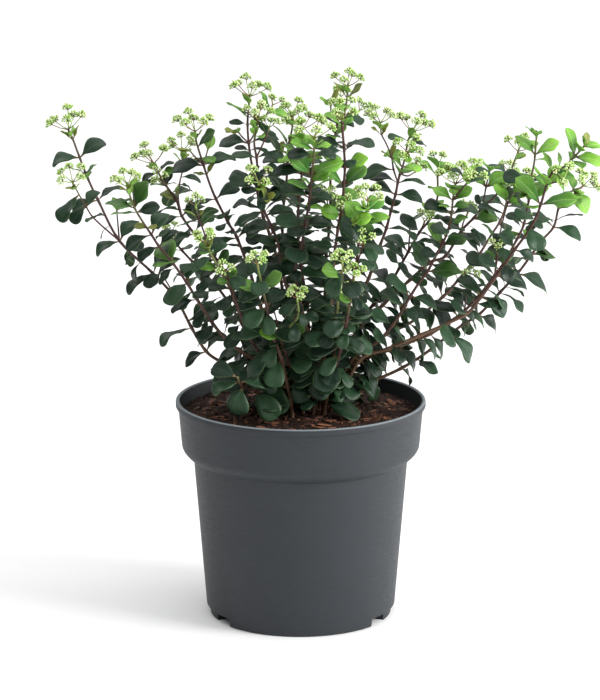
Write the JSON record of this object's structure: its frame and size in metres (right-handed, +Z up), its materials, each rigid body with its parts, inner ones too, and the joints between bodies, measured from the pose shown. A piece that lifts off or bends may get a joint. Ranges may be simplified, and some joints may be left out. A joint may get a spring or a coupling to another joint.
{
  "type": "potted laurustinus",
  "caption": "Young evergreen laurustinus shrub with opposite rounded leaves and flat heads of green flower buds, growing in peat soil in a round nursery pot.",
  "frame": {"origin": "the middle of the pot's underside, on the ground it stands on", "axes": "+Z up along the pot's axis, -Y towards the front of the plant, the side that the picture shows, +X to the right in the picture"},
  "size_m": [0.5047, 0.2583, 0.5106],
  "materials": {
    "dark_plastic": "satin",
    "peat_soil": "crumbled matt",
    "evergreen_leaf": "satin",
    "flower_buds": "matt"
  },
  "bodies": {
    "root": {"nursery_pot": "dark_plastic", "potting_soil": "peat_soil", "leafy_stem_01": "evergreen_leaf", "leafy_stem_02": "evergreen_leaf", "leafy_stem_03": "evergreen_leaf", "leafy_stem_04": "evergreen_leaf", "leafy_stem_05": "evergreen_leaf", "leafy_stem_06": "evergreen_leaf", "leafy_stem_07": "evergreen_leaf", "leafy_stem_08": "evergreen_leaf", "leafy_stem_09": "evergreen_leaf", "leafy_stem_10": "evergreen_leaf", "leafy_stem_11": "evergreen_leaf", "leafy_stem_12": "evergreen_leaf", "leafy_stem_13": "evergreen_leaf", "leafy_stem_14": "evergreen_leaf", "leafy_stem_15": "evergreen_leaf", "leafy_stem_16": "evergreen_leaf", "leafy_stem_17": "evergreen_leaf", "leafy_stem_18": "evergreen_leaf", "leafy_stem_19": "evergreen_leaf", "leafy_stem_20": "evergreen_leaf", "leafy_stem_21": "evergreen_leaf", "leafy_stem_22": "evergreen_leaf", "leafy_stem_23": "evergreen_leaf", "leafy_stem_24": "evergreen_leaf", "leafy_stem_25": "evergreen_leaf", "leafy_stem_26": "evergreen_leaf", "leafy_stem_27": "evergreen_leaf", "flower_head_01": "flower_buds", "flower_head_02": "flower_buds", "flower_head_03": "flower_buds", "flower_head_04": "flower_buds", "flower_head_05": "flower_buds", "flower_head_06": "flower_buds", "flower_head_07": "flower_buds", "flower_head_08": "flower_buds", "flower_head_09": "flower_buds", "flower_head_10": "flower_buds", "flower_head_11": "flower_buds", "flower_head_12": "flower_buds", "flower_head_13": "flower_buds", "flower_head_14": "flower_buds", "flower_head_15": "flower_buds", "flower_head_16": "flower_buds", "flower_head_17": "flower_buds", "flower_head_18": "flower_buds", "flower_head_19": "flower_buds", "flower_head_20": "flower_buds", "flower_head_21": "flower_buds", "flower_head_22": "flower_buds", "flower_head_23": "flower_buds", "flower_head_24": "flower_buds", "flower_head_25": "flower_buds", "flower_head_26": "flower_buds", "flower_head_27": "flower_buds", "flower_head_28": "flower_buds", "flower_head_29": "flower_buds", "flower_head_30": "flower_buds"}
  },
  "joints": []
}
